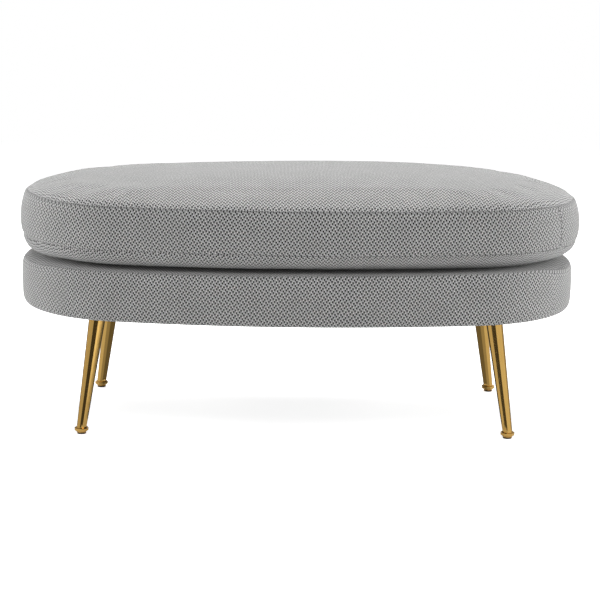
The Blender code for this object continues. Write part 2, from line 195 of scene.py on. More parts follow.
# Weave: the width of a yarn, and lengths counted in such widths
YARN = 2.45 * MM
REPEAT = 4.0  # each yarn floats over three others and dips under the fourth
DIPS = (0.0, 1.22, 3.22, 2.0)  # where four neighbouring yarns dip
YARN_DRIFT = 3.5  # how far yarns wander off their straight lines
DRIFT_SCALE = 7.0
BELLY = 3.06  # way from a dip to the fullest part of the float
PIT_SIZE = (0.83, 0.99)  # half the width and half the length of a pit, which is also the patch of painted shade in it
BELLY_HIGHLIGHT_SIZE = (0.7, 0.74)  # the same of the painted highlight on a belly, which also lifts the bump there
YARN_COLOUR = (0.56, 0.56, 0.555, 1.0)
# painted shade in the pits where the yarns dip
PAINTED_PIT_SHADE = (0.002, 0.002, 0.002, 1.0)

# Camera, fitted to the outline of the photographed bench in a 600 by 600 frame
FRAME_PIXELS = 600
FOCAL_PIXELS = 1769.5
SENSOR = 36.0
CAMERA_AT = Vector((-0.0044, -3.1487, 0.8707))
CAMERA_YAW = 0.0037
CAMERA_PITCH = 0.2072
CAMERA_ROLL = 0.0124

# Studio
FLOOR_SIZE = 4.0
FLOOR_COLOUR = (0.95, 0.95, 0.95, 1.0)
SEEN_COLOUR = (0.9, 0.9, 0.9, 1.0)  # what the camera sees of the floor, besides a glow
SEEN_GLOW = 0.75
WORLD_LIGHT = 0.22
LAMPS = {  # place, target, size and power in watts
    "overhead": ((0.0, 0.9, 2.4), (0.0, 0.0, 0.4), (2.6, 1.6), 53.0),
    "front": ((0.0, -2.0, 3.0), (0.0, 0.0, 0.2), (3.0, 1.2), 41.0),
    "left_side": ((-2.4, 0.2, 0.75), (-0.3, 0.0, 0.3), (1.4, 1.4), 22.0),
    "right_side": ((2.4, 0.2, 0.75), (0.3, 0.0, 0.3), (1.4, 1.4), 27.0),
}
REFLECTION_SHEET_DISTANCE = {"front": 70 * MM, "rear": 30 * MM}  # from the middle of a leg
REFLECTION_SHEET_COLUMNS = 13
LEG_REFLECTION_SHEETS = {  # glowing sheets that paint the reflections in the legs: start and stop in degrees from the direction of the camera, and brightness
    "front_left": ((-178, -115, 0.2), (-115, -48, 0.5), (-42, 11, 0.06), (90, 178, 0.08)),
    "front_right": ((-178, -100, 0.06), (-98, -38, 0.6), (-34, 6, 0.07), (20, 105, 0.72), (105, 178, 0.3)),
    "rear_left": ((-178, -30, 0.62), (-30, 10, 0.32), (10, 178, 0.14)),
    "rear_right": ((-178, -10, 0.17), (-10, 30, 0.36), (30, 178, 0.68)),
}


def smooth_step(low, high, values):
    """0 below low, 1 above high, and a smooth ramp in between."""
    share = np.clip((values - low) / (high - low), 0.0, 1.0)
    return share * share * (3 - 2 * share)


def towards_end(values, end):
    """A value that changes from the middle of the bench, where end is 0, to its two ends, where it is 1."""
    return values["middle"] + (values["end"] - values["middle"]) * end


class Outline:
    """Columns around the plan, evenly spaced and counted from the join in the cushion's side band."""

    def __init__(self, count):
        whole = 2 * math.pi
        arcs = (
            (END_X, 0.0, END_RADIUS, BAND_JOIN, END_TURN),
            (0.0, -SIDE_Y, SIDE_RADIUS, END_TURN, math.pi - END_TURN),
            (-END_X, 0.0, END_RADIUS, math.pi - END_TURN, math.pi + END_TURN),
            (0.0, SIDE_Y, SIDE_RADIUS, math.pi + END_TURN, whole - END_TURN),
            (END_X, 0.0, END_RADIUS, whole - END_TURN, whole + BAND_JOIN),
        )
        starts = np.cumsum([0.0] + [radius * (stop - start) for _, _, radius, start, stop in arcs])
        self.count = count
        self.length = starts[-1]
        self.travel = np.linspace(0.0, self.length, count + 1)
        which = np.searchsorted(starts, self.travel[:-1], side="right") - 1
        self.centre = np.array([arcs[i][:2] for i in which])
        self.radius = np.array([arcs[i][2] for i in which])
        angle = np.array([arcs[i][3] for i in which]) + (self.travel[:-1] - starts[which]) / self.radius
        self.outward = np.stack([np.cos(angle), np.sin(angle)], axis=1)

    def ring(self, inset, z, scale=1.0):
        """Points around the plan, moved in by inset and then shrunk towards the centre by scale."""
        flat = (self.centre + self.outward * (self.radius - inset)[:, None]) * scale
        return np.column_stack([flat, np.broadcast_to(z, self.count)])

    def waver(self, name):
        """The unevenness of that name in WAVES, for each column."""
        size, seed, height = WAVES[name]
        reach = self.length / (2 * math.pi * size)
        turns = 2 * math.pi * self.travel[:-1] / self.length
        values = [noise.noise((reach * math.cos(a), reach * math.sin(a), seed)) for a in turns]
        return np.array(values) * height

    def upright_weave(self, height):
        """Weave coordinates of a row on an upright strip: the way around, and the way down."""
        return np.column_stack([self.travel, np.full(self.count + 1, -height)])

    def level_weave(self, inset, scale=1.0):
        """Weave coordinates of a row on a level panel: where the row lies once the panel is rolled out."""
        flat = self.ring(inset, 0.0, scale)[:, :2] * (1, -1)
        return np.vstack([flat, flat[:1]])


PLAN = Outline(COLUMNS)
AT_ENDS = smooth_step(END_STARTS, END_FULL, np.abs(PLAN.outward[:, 0]))  # 1 at both ends of the bench
TO_RIGHT = np.tanh(PLAN.ring(0.0, 0.0)[:, 0] / HALF_REACH)  # near -1 in the left half, near 1 in the right


class Skin:
    """Points and faces of a cover while it is put together, with two sets of coordinates.

    The weave ones lie flat on the cloth. The seam ones are distances to the nearest seam and upright join.
    """

    def __init__(self):
        self.points = []
        self.faces = []
        self.weave = []
        self.seam = []

    def add(self, points):
        """Adds points and gives back their numbers."""
        first = len(self.points)
        self.points.extend(map(tuple, points))
        return np.arange(first, len(self.points))

    def panel(self, rows, weaves, edges, joined=False):
        """Quads between rows of point numbers. The edges are the distances of the rows from a seam."""
        join = np.full(COLUMNS + 1, FAR)
        if joined:
            join = np.minimum(PLAN.travel, PLAN.length - PLAN.travel)
        for r in range(len(rows) - 1):
            low, high = rows[r : r + 2]
            for i in range(COLUMNS):
                j = (i + 1) % COLUMNS
                self.faces.append((low[i], low[j], high[j], high[i]))
                self.weave += [weaves[r][i], weaves[r][i + 1], weaves[r + 1][i + 1], weaves[r + 1][i]]
                self.seam += [(edges[r], join[i]), (edges[r], join[i + 1])]
                self.seam += [(edges[r + 1], join[i + 1]), (edges[r + 1], join[i])]

    def cap(self, ring, height, facing_up):
        """Fills a ring with a grid of quads, whose inner points follow from the four sides of the ring."""
        corner = round(COLUMNS * (END_TURN - BAND_JOIN) * END_RADIUS / PLAN.length)
        edge = np.array([self.points[i] for i in ring])[:, :2]
        rear = (corner + np.arange(SIDE_COLUMNS + 1)) % COLUMNS
        left = (corner + SIDE_COLUMNS + np.arange(END_COLUMNS + 1)) % COLUMNS
        right = (corner - np.arange(END_COLUMNS + 1)) % COLUMNS
        front = (corner - END_COLUMNS - np.arange(SIDE_COLUMNS + 1)) % COLUMNS
        u = np.linspace(0, 1, SIDE_COLUMNS + 1)[:, None, None]
        v = np.linspace(0, 1, END_COLUMNS + 1)[None, :, None]
        flat = (1 - v) * edge[rear][:, None] + v * edge[front][:, None]
        flat = flat + (1 - u) * edge[right][None] + u * edge[left][None]
        flat = flat - (1 - u) * ((1 - v) * edge[rear[0]] + v * edge[front[0]])
        flat = flat - u * ((1 - v) * edge[rear[-1]] + v * edge[front[-1]])
        inner = flat[1:-1, 1:-1].reshape(-1, 2)
        grid = np.zeros(flat.shape[:2], int)
        grid[:, 0] = ring[rear]
        grid[:, -1] = ring[front]
        grid[0, :] = ring[right]
        grid[-1, :] = ring[left]
        filled = self.add(np.column_stack([inner, height(inner)]))
        grid[1:-1, 1:-1] = filled.reshape(grid[1:-1, 1:-1].shape)
        for i in range(SIDE_COLUMNS):
            for j in range(END_COLUMNS):
                face = (grid[i, j], grid[i + 1, j], grid[i + 1, j + 1], grid[i, j + 1])
                face = face if facing_up else face[::-1]
                self.faces.append(face)
                self.weave += [(self.points[n][0], -self.points[n][1]) for n in face]
                self.seam += [(FAR, FAR)] * 4
        return filled

    def piece(self, name, mat):
        """Makes an object of the cover, with its two layers of coordinates."""
        mesh = bpy.data.meshes.new(name)
        mesh.from_pydata(self.points, [], [[int(n) for n in face] for face in self.faces])
        for layer, values in (("weave", self.weave), ("seam", self.seam)):
            made = mesh.uv_layers.new(name=layer)
            made.data.foreach_set("uv", np.array(values, np.float32).reshape(-1))
        mesh.materials.append(mat)
        mesh.shade_smooth()
        made = bpy.data.objects.new(name, mesh)
        bpy.context.scene.collection.objects.link(made)
        return made


class Shader:
    """A material and its nodes, with short calls for the ones used here."""

    def __init__(self, name, **values):
        self.material = bpy.data.materials.new(name)
        self.material.use_nodes = True
        self.tree = self.material.node_tree
        self.surface = self.tree.nodes["Principled BSDF"]
        for socket, value in values.items():
            self.surface.inputs[socket.replace("_", " ")].default_value = value

    def feed(self, socket, value):
        """Links a node's output to a socket, or sets the socket to a plain value."""
        if isinstance(value, bpy.types.NodeSocket):
            self.tree.links.new(value, socket)
        else:
            socket.default_value = value

    def node(self, kind, values, **options):
        """Adds a node with these options, and feeds its sockets."""
        made = self.tree.nodes.new(kind)
        for option, value in options.items():
            setattr(made, option, value)
        for socket, value in values.items():
            self.feed(made.inputs[socket], value)
        return made

    def math(self, operation, *values):
        return self.node("ShaderNodeMath", dict(enumerate(values)), operation=operation).outputs[0]

    def product(self, first, *others):
        for other in others:
            first = self.math("MULTIPLY", first, other)
        return first

    def place(self):
        return self.node("ShaderNodeTexCoord", {}).outputs["Object"]

    def stretched(self, scale):
        return self.node("ShaderNodeMapping", {"Vector": self.place(), "Scale": scale}).outputs[0]

    def split(self, vector):
        """The first two coordinates of a vector."""
        return self.node("ShaderNodeSeparateXYZ", {0: vector}).outputs[:2]

    def layer(self, name):
        """The two coordinates in one of the cover's layers, weave or seam."""
        return self.split(self.node("ShaderNodeUVMap", {}, uv_map=name).outputs[0])

    def noise(self, vector, scale, detail=2.0, output="Fac"):
        values = {"Vector": vector, "Scale": scale, "Detail": detail}
        return self.node("ShaderNodeTexNoise", values).outputs[output]

    def cells(self, scale, randomness=1.0):
        values = {"Vector": self.place(), "Scale": scale, "Randomness": randomness}
        return self.node("ShaderNodeTexVoronoi", values).outputs[0]

    def span(self, value, low, high, bottom, top, smooth=False):
        """Maps a value from one range to another, held at its ends."""
        values = {"Value": value, 1: low, 2: high, 3: bottom, 4: top}
        kind = "SMOOTHSTEP" if smooth else "LINEAR"
        return self.node("ShaderNodeMapRange", values, interpolation_type=kind).outputs[0]

    def blend(self, share, first, second):
        values = {0: share, 6: first, 7: second}
        return self.node("ShaderNodeMix", values, data_type="RGBA").outputs[2]

    def scaled(self, colour, factor):
        """A colour times a factor."""
        values = {0: 1.0, 6: colour, 7: factor}
        return self.node("ShaderNodeMix", values, data_type="RGBA", blend_type="MULTIPLY").outputs[2]

    def radius(self, first, second, sizes):
        """Distance from the middle of an oval spot with the two given sizes, where 1 is its rim."""
        shares = [self.math("DIVIDE", way, size) for way, size in zip((first, second), sizes)]
        squares = [self.math("POWER", share, 2.0) for share in shares]
        return self.math("SQRT", self.math("ADD", *squares))

    def finish(self, colour, roughness=None, height=None, depth=0.0):
        self.feed(self.surface.inputs["Base Color"], colour)
        if roughness is not None:
            self.feed(self.surface.inputs["Roughness"], roughness)
        if height is not None:
            values = {"Height": height, "Distance": depth, "Strength": 1.0}
            self.feed(self.surface.inputs["Normal"], self.node("ShaderNodeBump", values).outputs[0])
        return self.material


def twill(look, place, cloth):
    """Where a point lies in the weave, and a random value for the float that it is on.

    The place is given by the ways from the middle of its yarn, along the float, and to the nearest dip.
    """
    drift = look.split(look.noise(place, DRIFT_SCALE, output="Color"))
    across, down = [
        look.math("MULTIPLY_ADD", way, 1 / YARN, look.math("MULTIPLY", wander, YARN_DRIFT))
        for way, wander in zip(cloth, drift)
    ]
    yarn = look.math("FLOOR", across)
    side = look.math("SUBTRACT", look.math("SUBTRACT", across, yarn), 0.5)
    lane = look.math("FLOORED_MODULO", yarn, REPEAT)
    start = DIPS[0]
    for number in range(1, len(DIPS)):
        reached = look.math("GREATER_THAN", lane, number - 0.5)
        start = look.math("MULTIPLY_ADD", reached, DIPS[number] - DIPS[number - 1], start)
    run = look.math("SUBTRACT", down, start)
    along = look.math("FLOORED_MODULO", run, REPEAT)
    turn = look.math("FLOOR", look.math("DIVIDE", run, REPEAT))
    dip = look.math("MINIMUM", along, look.math("SUBTRACT", REPEAT, along))
    number = look.node("ShaderNodeCombineXYZ", {0: yarn, 1: turn}).outputs[0]
    chance = look.node("ShaderNodeTexWhiteNoise", {0: number}, noise_dimensions="2D").outputs[0]
    return side, along, dip, chance


def painted_seam_shade_and_stitches(look, fibre, down):
    """How bright the cloth is left by painted shade close to a seam, and by the dark stitches of the side
    band's join.
    """
    from_seam, from_join = look.layer("seam")
    from_seam = look.math("MULTIPLY_ADD", fibre, SEAM_SHADE_FRAY, from_seam)
    seam = look.span(from_seam, *SEAM_SHADE_FADE, SEAM_SHADE_LEVEL, 1.0, smooth=True)
    stitch = look.math("PINGPONG", down, HALF_STITCH)
    spot = look.radius(from_join, stitch, STITCH_SPOT)
    return look.product(seam, look.span(spot, 0.5, 1.0, STITCH_SHADE, 1.0, smooth=True))


def woven_fabric():
    """A broken twill of rounded yarns, with painted highlights on their bellies, painted shade on their
    sides, and dark pits of painted shade where they dip.
    """
    look = Shader(
        "woven_fabric", Roughness=0.95, Specular_IOR_Level=0.04, Sheen_Weight=0.4, Sheen_Roughness=0.5
    )
    place = look.place()
    cloth = look.layer("weave")
    side, along, dip, chance = twill(look, place, cloth)
    # Painted shade in the pit where a yarn dips; the same mask also sinks the bump there.
    pit_depth_and_shade = look.span(look.radius(side, dip, PIT_SIZE), 0.42, 1.1, 1.0, 0.0, smooth=True)
    pit_depth_and_shade = look.product(pit_depth_and_shade, look.span(chance, 0.0, 0.6, 0.9, 1.0))
    belly = look.math("SUBTRACT", along, BELLY)
    # Painted highlight on the belly of each float; the same mask also lifts the bump there.
    belly_bulge_and_highlight = look.span(look.radius(side, belly, BELLY_HIGHLIGHT_SIZE), 0.0, 1.0, 1.0, 0.0, smooth=True)
    # Painted shade towards both sides of each rounded yarn; the same values also round the bump.
    rounding = look.product(side, side, -3.0)
    fibre = look.noise(place, 900.0, 3.0)
    patch = look.noise(place, 24.0, 3.0)
    # The painted highlight and side shade, times the yarns' own random tone.
    light = look.product(
        look.math("MULTIPLY_ADD", belly_bulge_and_highlight, 0.95, 1.0),
        look.math("ADD", 1.0, rounding),
        look.span(chance, 0.0, 1.0, 0.94, 1.06),
        look.span(fibre, 0.3, 0.7, 0.95, 1.05),
        look.span(patch, 0.3, 0.7, 0.96, 1.04),
    )
    colour = look.scaled(YARN_COLOUR, light)
    colour = look.blend(pit_depth_and_shade, colour, PAINTED_PIT_SHADE)
    # Painted shade along the seams, and the dark stitches of the join.
    colour = look.scaled(colour, painted_seam_shade_and_stitches(look, fibre, cloth[1]))
    height = look.math("ADD", look.math("ADD", rounding, look.product(belly_bulge_and_highlight, 0.5)), fibre)
    height = look.math("SUBTRACT", height, look.product(pit_depth_and_shade, 1.2))
    return look.finish(colour, None, height, 0.25 * MM)


def gold_metal():
    """Polished, lightly tinted metal with faint lengthwise smears."""
    look = Shader("gold_metal", Metallic=1.0)
    smear = look.noise(look.stretched((60.0, 60.0, 6.0)), 1.0, 4.0)
    cloud = look.noise(look.place(), 30.0)
    colour = look.blend(cloud, (0.76, 0.46, 0.12, 1.0), (0.85, 0.54, 0.17, 1.0))
    return look.finish(colour, look.span(smear, 0.3, 0.7, 0.07, 0.16))


def zinc_steel():
    """Plated steel with the cloudy spangle of a zinc bath."""
    look = Shader("zinc_steel", Metallic=1.0)
    spangle = look.cells(260.0)
    cloud = look.noise(look.place(), 90.0, 4.0)
    colour = look.blend(spangle, (0.42, 0.43, 0.44, 1.0), (0.66, 0.66, 0.65, 1.0))
    return look.finish(colour, look.span(cloud, 0.3, 0.7, 0.28, 0.5), spangle, 0.05 * MM)


def pad_rubber():
    """Matt dark rubber with a fine grain."""
    look = Shader("pad_rubber")
    grain = look.noise(look.place(), 700.0, 4.0)
    colour = look.blend(grain, (0.05, 0.043, 0.034, 1.0), (0.11, 0.096, 0.075, 1.0))
    return look.finish(colour, look.span(grain, 0.3, 0.7, 0.55, 0.8), grain, 0.2 * MM)


def plug_plastic():
    """Black moulded plastic with a fine grain."""
    look = Shader("plug_plastic")
    grain = look.noise(look.place(), 500.0, 3.0)
    colour = look.blend(grain, (0.022, 0.022, 0.023, 1.0), (0.045, 0.045, 0.046, 1.0))
    return look.finish(colour, look.span(grain, 0.3, 0.7, 0.4, 0.6), grain, 0.1 * MM)


def plywood():
    """Rotary-cut veneer: a long wavering figure with short dark pores."""
    look = Shader("plywood")
    bend = look.noise(look.stretched((2.0, 9.0, 9.0)), 1.0, 3.0)
    bent = look.node("ShaderNodeVectorMath", {0: look.stretched((3.0, 60.0, 60.0)), 1: bend}).outputs[0]
    figure = look.noise(bent, 1.0, 5.0)
    pores = look.noise(look.stretched((40.0, 900.0, 900.0)), 1.0)
    colour = look.blend(figure, (0.42, 0.27, 0.14, 1.0), (0.72, 0.56, 0.36, 1.0))
    colour = look.blend(look.span(pores, 0.62, 0.75, 0.0, 0.55), colour, (0.25, 0.15, 0.08, 1.0))
    return look.finish(colour, look.span(figure, 0.3, 0.7, 0.6, 0.78), pores, 0.1 * MM)


def hardboard():
    """Brown board of pressed wood fibres."""
    look = Shader("hardboard")
    flake = look.noise(look.place(), 320.0, 5.0)
    colour = look.blend(flake, (0.2, 0.12, 0.065, 1.0), (0.42, 0.29, 0.18, 1.0))
    return look.finish(colour, look.span(flake, 0.3, 0.7, 0.6, 0.85), flake, 0.15 * MM)


def dust_cloth():
    """Thin black felt of pressed fibres, with rows of small shiny spots where they are melted together."""
    look = Shader("dust_cloth", Specular_IOR_Level=0.06)
    fibre = look.noise(look.stretched((500.0, 900.0, 500.0)), 1.0, 4.0)
    pressed = look.span(look.cells(420.0, 0.25), 0.25, 0.45, 1.0, 0.0, smooth=True)
    colour = look.blend(fibre, (0.012, 0.012, 0.013, 1.0), (0.05, 0.05, 0.052, 1.0))
    colour = look.blend(pressed, colour, (0.018, 0.018, 0.02, 1.0))
    height = look.math("SUBTRACT", fibre, pressed)
    return look.finish(colour, look.span(pressed, 0.0, 1.0, 0.9, 0.5), height, 0.12 * MM)


FABRIC = woven_fabric()


def seam_draw(distance, depth):
    """How far a cover stands out near a seam: drawn in at the stitches, and a little full beside them."""
    drawn = depth * np.exp(-((distance / SEAM_REACH) ** 2))
    return SEAM_PUFF * np.exp(-(((distance - PUFF_AT) / PUFF_REACH) ** 2)) - drawn


def panel_share(flat):
    """How far out points of the top panel are, from 0 at its centre to 1 at its seam."""

    def reach(centre, radius):
        """How many times further out than each point the arc around a centre is."""
        square = np.maximum(np.sum(flat**2, axis=1), 1e-12)
        dot = np.sum(flat * centre, axis=1)
        gap = np.sum(centre**2, axis=1) - radius**2
        return (dot + np.sqrt(np.maximum(dot**2 - square * gap, 0.0))) / square

    none = np.zeros(len(flat))
    to_end = reach(np.column_stack([np.copysign(END_X, flat[:, 0]), none]), END_RADIUS - TOP_INSET)
    to_side = reach(np.column_stack([none, -np.copysign(SIDE_Y, flat[:, 1])]), SIDE_RADIUS - TOP_INSET)
    edge = np.abs(flat) * to_end[:, None] - (END_X, 0.0)
    on_end = np.arctan2(edge[:, 1], edge[:, 0]) < END_TURN
    return 1 / np.where(on_end, to_end, to_side)


def near_end(flat):
    """0 for points in the middle of the top panel, and 1 for points near its two ends."""
    return smooth_step(*TOP_ENDS, np.abs(flat[:, 0]))


def crown(share, flat):
    """Height of the top panel above its seam. It is rounder towards its two ends."""
    end = near_end(flat)
    roll = towards_end(ROLL, end)
    dome = (CUSHION_TOP - TOP_SEAM - roll) * (1 - share**DOME_POWER)
    return dome + roll * (1 - share ** towards_end(ROLL_POWER, end))


def swell_room(share, flat):
    """How much lower the top panel starts: blown up, it rises in the middle and sinks beside its seam."""
    end = near_end(flat)
    sunk = smooth_step(towards_end(SINK_STARTS, end), towards_end(SINK_FULL, end), share)
    return SWELL_LIMIT * (1 - 2 * sunk)


def lean(flat):
    """How much higher the top panel is than a symmetrical one."""
    return CROWN_LEAN * np.sin(flat[:, 0] / LENGTH * 2 * math.pi) * (1 - panel_share(flat) ** LEAN_POWER)


def band_inset(share):
    """Outline of the side band: fullest below its middle, and drawn in to both seams."""
    if share > FULLEST:
        return TOP_INSET * ((share - FULLEST) / (1 - FULLEST)) ** BAND_POWER
    return BOTTOM_INSET * ((FULLEST - share) / FULLEST) ** BAND_POWER


def section_lengths(section):
    """Way along a section of (inset, height) points, from its first point."""
    steps = [math.dist(one, two) for one, two in zip(section, section[1:])]
    return np.concatenate([[0.0], np.cumsum(steps)])


def cushion_underside(skin, wander):
    """The bottom panel, from the flat part that rests on the base out to its seam."""
    high = BOTTOM_SEAM - CUSHION_BOTTOM
    swing = [math.radians(a) for a in TUCK_ANGLES]
    section = [(BOTTOM_INSET + TUCK * (1 - math.cos(a)), BOTTOM_SEAM - high * math.sin(a)) for a in swing]
    lengths = section_lengths(section)
    end_droop = np.where(PLAN.outward[:, 0] < 0, DROOP["left"], DROOP["right"])
    middle_droop = DROOP["middle"] - DROOP_TILT * TO_RIGHT
    sag = PLAN.waver("lower_edge") - end_droop * AT_ENDS - middle_droop * (1 - AT_ENDS)
    rows = []
    weaves = []
    for angle, (inset, z), length in zip(swing, section, lengths):
        uneven = wander * (1 - math.sin(angle)) + sag * math.sin(2 * angle)
        height = np.maximum(z + uneven, CUSHION_BOTTOM)
        rows.append(skin.add(PLAN.ring(inset - seam_draw(lengths[-1] - length, FAINT_DEPTH), height)))
        weaves.append(PLAN.level_weave(section[0][0] - length))
    flat = skin.cap(rows[0], lambda inner: np.full(len(inner), CUSHION_BOTTOM), facing_up=False)
    skin.panel(rows, weaves, lengths[-1] - lengths + FAINT_SEAM)
    return rows, flat


def cushion_band(skin, seam, low_wander, high_wander):
    """The side band between the two seams. Its ends are sewn together on the first column."""
    tall = TOP_SEAM - BOTTOM_SEAM
    near = np.array(SEAM_ROWS + BAND_ROWS)
    full = PLAN.waver("side_band")
    rows = [seam]
    weaves = [PLAN.upright_weave(0.0)]
    edges = [FAINT_SEAM]
    for height in np.concatenate([near, [tall / 2], tall - near[::-1], [tall]]):
        share = height / tall
        edge = min(height, tall - height)
        free = 4 * share * (1 - share)
        depth = SEAM_DEPTH if share > 0.5 else FAINT_DEPTH
        inset = band_inset(share) - seam_draw(edge, depth) - free * full
        inset[0] += free * JOIN_DEPTH
        wander = low_wander * (1 - share) + high_wander * share
        rows.append(skin.add(PLAN.ring(inset, BOTTOM_SEAM + height + wander)))
        weaves.append(PLAN.upright_weave(height))
        edges.append(min(height + FAINT_SEAM, tall - height))
    skin.panel(rows, weaves, edges, joined=True)
    return rows


def cushion_top(skin, seam, wander):
    """The crowned top panel, from its seam to its middle."""
    reach = DEPTH / 2 - TOP_INSET
    distances = (0.0,) + SEAM_ROWS + TOP_ROWS
    lengths = section_lengths([(d, crown(1 - d / reach, np.zeros((1, 2)))[0]) for d in distances])
    spare = lengths[-1] - distances[-1]  # the curved rows are this much longer than their plan
    rows = [seam]
    weaves = [PLAN.level_weave(TOP_INSET, 1 + spare / reach)]
    for distance, length in list(zip(distances, lengths))[1:]:
        share = 1 - distance / reach
        flat = PLAN.ring(TOP_INSET, 0.0, share)[:, :2]
        drawn = seam_draw(distance, LIP_DEPTH)
        z = TOP_SEAM + crown(share, flat) + lean(flat) + drawn + wander * share**WANDER_POWER
        z = z - swell_room(share, flat) * min(1.0, distance / SEAM_ROWS[-1])
        rows.append(skin.add(PLAN.ring(TOP_INSET - drawn, z, share)))
        weaves.append(PLAN.level_weave(TOP_INSET, 1 + (spare - length) / reach))
    skin.panel(rows, weaves, [FAR] * len(rows))

    def filled(inner):
        share = panel_share(inner)
        return TOP_SEAM + crown(share, inner) + lean(inner) - swell_room(share, inner)

    skin.cap(rows[-1], filled, facing_up=True)


def swell(piece, held):
    """Blows a cover up from inside with a short cloth run, and keeps every point near where it started."""
    scene = bpy.context.scene
    group = piece.vertex_groups.new(name="held")
    group.add([int(n) for n in held], 1.0, "REPLACE")
    cloth = piece.modifiers.new("swell", "CLOTH")
    cloth.settings.vertex_group_mass = group.name
    cloth.settings.use_pressure = True
    cloth.settings.uniform_pressure_force = SWELL_PRESSURE
    cloth.settings.effector_weights.gravity = 0.0
    cloth.point_cache.frame_end = SWELL_FRAMES
    for step in range(1, SWELL_FRAMES + 1):
        scene.frame_set(step)
    count = len(piece.data.vertices)
    before = np.zeros(count * 3)
    after = np.zeros(count * 3)
    piece.data.vertices.foreach_get("co", before)
    piece.evaluated_get(bpy.context.evaluated_depsgraph_get()).data.vertices.foreach_get("co", after)
    piece.modifiers.remove(cloth)
    scene.frame_set(1)
    moved = (after - before).reshape(-1, 3)
    far = np.linalg.norm(moved, axis=1, keepdims=True)
    kept = moved * SWELL_LIMIT * np.tanh(far / SWELL_LIMIT) / np.maximum(far, 1e-9)
    piece.data.vertices.foreach_set("co", before + kept.reshape(-1))
    piece.data.update()


def seat_cushion():
    """The whole cover of the loose cushion, with its filling, as one closed form."""
    skin = Skin()
    low_wander = PLAN.waver("lower_seam")
    high_wander = PLAN.waver("upper_seam") - SEAM_TILT * PLAN.outward[:, 0] * AT_ENDS
    under, flat = cushion_underside(skin, low_wander)
    band = cushion_band(skin, under[-1], low_wander, high_wander)
    cushion_top(skin, band[-1], high_wander)
    made = skin.piece("seat_cushion", FABRIC)
    swell(made, np.concatenate([flat, under[0], under[-1], band[-1]]))
    made.location = CUSHION_SHIFT
    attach(made, "cushion")
    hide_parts(*[name for name in frame["nodes"] if name.startswith("cushion_")])


def rounded(inset, z, wide, high, degrees):
    """Section points around an oval corner centred on (inset, z). 0 degrees is outwards and 90 up."""
    turns = [math.radians(a) for a in degrees]
    return [(inset - wide * math.cos(a), z + high * math.sin(a)) for a in turns]


def base_side(where):
    """Section of the base's side, from under its lower edge up to the seam at its rim."""
    low = BASE_BOTTOM + LOWER_EDGE[1]
    seam_inset, seam_z, round_high, last = RIM[where]
    wide = (seam_inset - BASE_INSET) / (1 - math.cos(math.radians(last)))
    tall = round_high / math.sin(math.radians(last))
    high = seam_z - round_high
    section = [(RETURN_INSET, BASE_BOTTOM), (UNDER_INSET, BASE_BOTTOM)]
    section += rounded(BASE_INSET + LOWER_EDGE[0], low, *LOWER_EDGE, LOWER_ANGLES)
    section += [(BASE_INSET, low + (high - low) * i / SIDE_ROWS) for i in range(1, SIDE_ROWS)]
    turns = [last * i / RIM_ROWS for i in range(RIM_ROWS + 1)]
    return section + rounded(BASE_INSET + wide, high, wide, tall, turns)


def base_rim(where):
    """Section of the base's top, from the seam at its rim in to where it is level."""
    seam_inset, seam_z = RIM[where][:2]
    insets = [seam_inset + (LEVEL_INSET - seam_inset) * t for t in LEVEL_WAYS]
    heights = [BASE_TOP - (BASE_TOP - seam_z) * (1 - t) ** LEVEL_POWER[where] for t in LEVEL_WAYS]
    return list(zip(insets, heights))


def base_cover():
    """Fabric and padding of the base as one closed form: under the edge, up the side and over the top."""
    side, end_side = base_side("middle"), base_side("end")
    over, end_over = base_rim("middle"), base_rim("end")
    inner = [(LEVEL_INSET, DECK_TOP + CLEAR), (HOOP_INSET - CLEAR, DECK_TOP + CLEAR)]
    inner += [(HOOP_INSET - CLEAR, BASE_BOTTOM + COVER), (RETURN_INSET, BASE_BOTTOM + COVER), side[0]]
    full = SIDE_BULGE + PLAN.waver("base_side")
    ripple = PLAN.waver("base_rim")
    rim_depth = RIM_DEPTH * (1 - RIM_FADE * AT_ENDS)
    skin = Skin()

    def row(middle, end, from_seam):
        """Points of a row whose section point changes from the middle of the bench to its ends."""
        inset, z = np.array(middle)[:, None] * (1 - AT_ENDS) + np.array(end)[:, None] * AT_ENDS
        rise = min(max((middle[1] - BASE_BOTTOM) / (RIM["middle"][1] - BASE_BOTTOM), 0.0), 1.0)
        uneven = full * math.sin(math.pi * rise) + ripple * math.exp(-from_seam / RIPPLE_REACH)
        uneven = uneven + BASE_SHIFT * PLAN.outward[:, 0]
        z = z + RIM_TILT * TO_RIGHT * (1 - AT_ENDS) * math.exp(-from_seam / TILT_REACH)
        return skin.add(PLAN.ring(inset - seam_draw(from_seam, rim_depth) - uneven, z))

    lengths = section_lengths(side)
    rows = [row(*points) for points in zip(side, end_side, lengths[-1] - lengths)]
    weaves = [PLAN.upright_weave(length) for length in lengths]
    skin.panel(rows, weaves, lengths[-1] - lengths + FAINT_SEAM)
    lengths = section_lengths(over)
    top = [row(*points) for points in zip(over[1:], end_over[1:], lengths[1:])]
    weaves = [PLAN.level_weave(LEVEL_INSET - lengths[-1] + length) for length in lengths]
    skin.panel([rows[-1]] + top, weaves, lengths + FAINT_SEAM)
    skin.cap(top[-1], lambda flat: np.full(len(flat), BASE_TOP), facing_up=True)
    lining = [skin.add(PLAN.ring(inset, z)) for inset, z in inner[:-1]]
    skin.cap(lining[0], lambda flat: np.full(len(flat), DECK_TOP + CLEAR), facing_up=False)
    weaves = [PLAN.upright_weave(-length) for length in section_lengths(inner)]
    skin.panel(lining + [rows[0]], weaves, [FAR] * len(inner))
    made = skin.piece("base_cover", FABRIC)
    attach(made, "base")
    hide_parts("base_side_cover", "base_top_cover", "deck_foam_pad", "base_foam_band")


